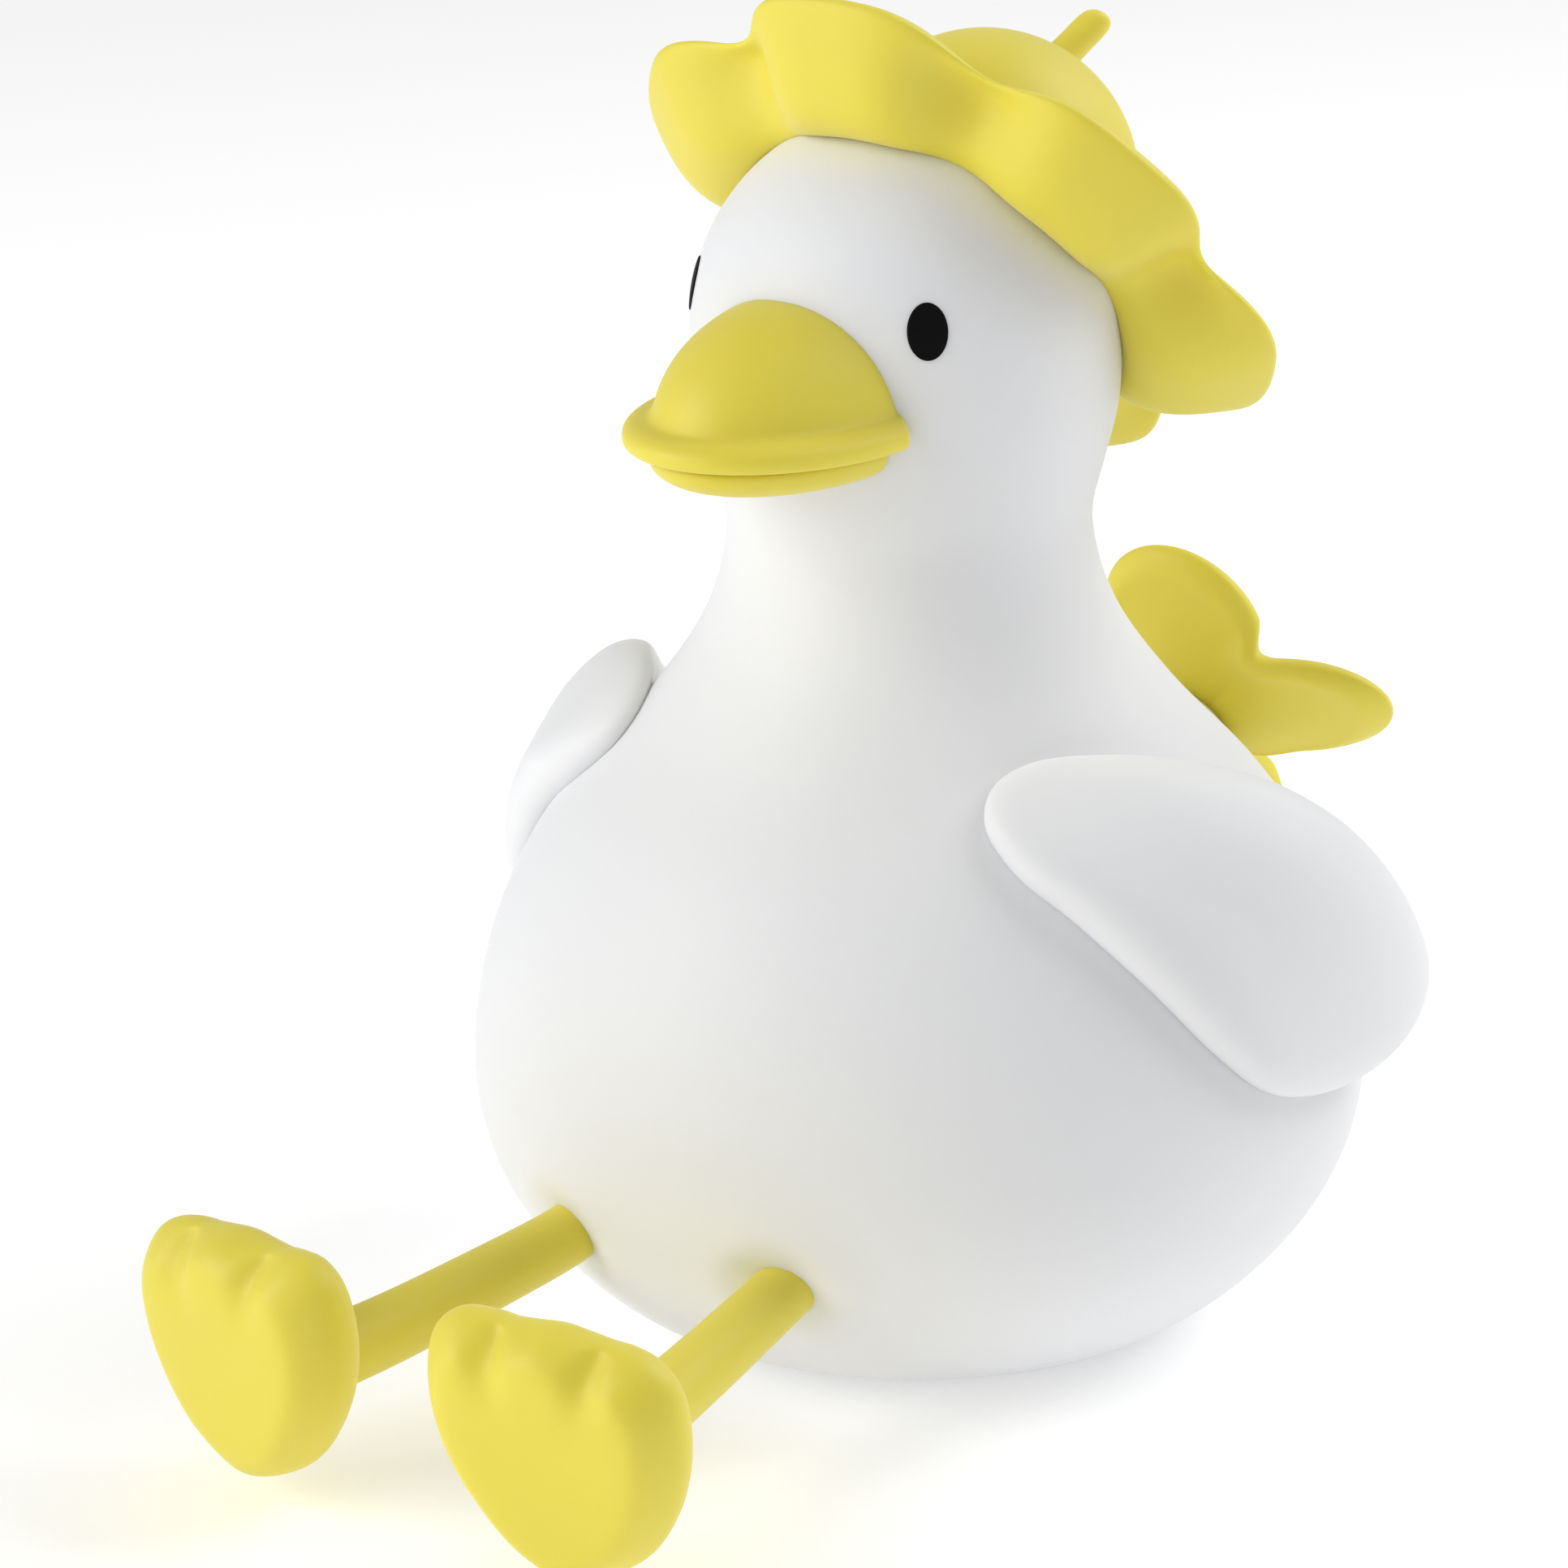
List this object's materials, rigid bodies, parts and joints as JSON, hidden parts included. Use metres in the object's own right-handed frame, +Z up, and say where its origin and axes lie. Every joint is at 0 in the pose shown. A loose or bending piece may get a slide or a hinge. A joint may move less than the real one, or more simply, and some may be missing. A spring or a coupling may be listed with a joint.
{
  "type": "duck night light",
  "caption": "Sitting soft duck lamp with a petal hat, bill, wings, tail flower and floppy legs with paddle feet over a rechargeable lamp drum.",
  "frame": {"origin": "middle of the base plate's underside, which stands on the table at z = 0", "axes": "+Z up, the duck looks along -Y, its left is +X"},
  "size_m": [0.1188, 0.1731, 0.1579],
  "materials": {
    "white_silicone": "matte",
    "yellow_silicone": "matte",
    "black_ink": "matte",
    "stud_silicone": "matte",
    "white_plastic": "matte",
    "diffuser_plastic": "frosted",
    "grey_rubber": "matte",
    "steel": "satin",
    "cell_sleeve": "satin",
    "green_board": "satin",
    "black_plastic": "matte",
    "red_lens": "gloss",
    "white_board": "satin",
    "lamp_lens": "gloss",
    "red_wire": "satin",
    "black_wire": "satin",
    "button_plastic": "satin"
  },
  "bodies": {
    "body": {"body_skin": "white_silicone", "left_wing": "white_silicone", "right_wing": "white_silicone", "upper_bill": "yellow_silicone", "lower_bill": "yellow_silicone", "left_eye": "black_ink", "right_eye": "black_ink", "hat_brim": "yellow_silicone", "hat_crown": "yellow_silicone", "hat_stem": "yellow_silicone", "tail": "white_silicone", "tail_flower": "yellow_silicone", "tail_button": "yellow_silicone", "left_hip_stud": "stud_silicone", "right_hip_stud": "stud_silicone", "base_plate": "white_plastic", "anti_slip_pads": "grey_rubber", "base_screws": "steel", "drum": "white_plastic", "lamp_dome": "diffuser_plastic", "battery": "cell_sleeve", "battery_cradle": "white_plastic", "control_board": "green_board", "control_chips": "black_plastic", "tap_sensor": "steel", "port_board": "green_board", "usb_c_port": "steel", "usb_tongue": "black_plastic", "tact_switch": "black_plastic", "status_light": "red_lens", "lamp_board": "white_board", "lamps_ring": "lamp_lens", "battery_leads": "red_wire", "port_leads": "black_wire", "lamp_leads": "red_wire"},
    "left_leg": {"left_leg": "yellow_silicone"},
    "left_foot": {"left_foot": "yellow_silicone"},
    "right_leg": {"right_leg": "yellow_silicone"},
    "right_foot": {"right_foot": "yellow_silicone"},
    "button": {"power_button": "button_plastic"}
  },
  "joints": [
    {"name": "left_hip", "type": "hinge", "parent": "body", "child": "left_leg", "pos_m": [0.015, -0.0494, 0.0176], "axis": [1, 0, 0], "range_deg": [-25, 50], "stiffness_Nm_per_rad": 0.03},
    {"name": "right_hip", "type": "hinge", "parent": "body", "child": "right_leg", "pos_m": [-0.015, -0.0494, 0.0176], "axis": [1, 0, 0], "range_deg": [-25, 50], "stiffness_Nm_per_rad": 0.03},
    {"name": "left_ankle", "type": "hinge", "parent": "left_leg", "child": "left_foot", "pos_m": [0.02, -0.0875, 0.0145], "axis": [1, 0, 0], "range_deg": [-12, 12], "stiffness_Nm_per_rad": 0.02},
    {"name": "right_ankle", "type": "hinge", "parent": "right_leg", "child": "right_foot", "pos_m": [-0.02, -0.0875, 0.0145], "axis": [1, 0, 0], "range_deg": [-12, 12], "stiffness_Nm_per_rad": 0.02},
    {"name": "power_button_press", "type": "slide", "parent": "body", "child": "button", "axis": [0, 0, 1], "range_m": [0, 0.0007], "stiffness_N_per_m": 400}
  ]
}
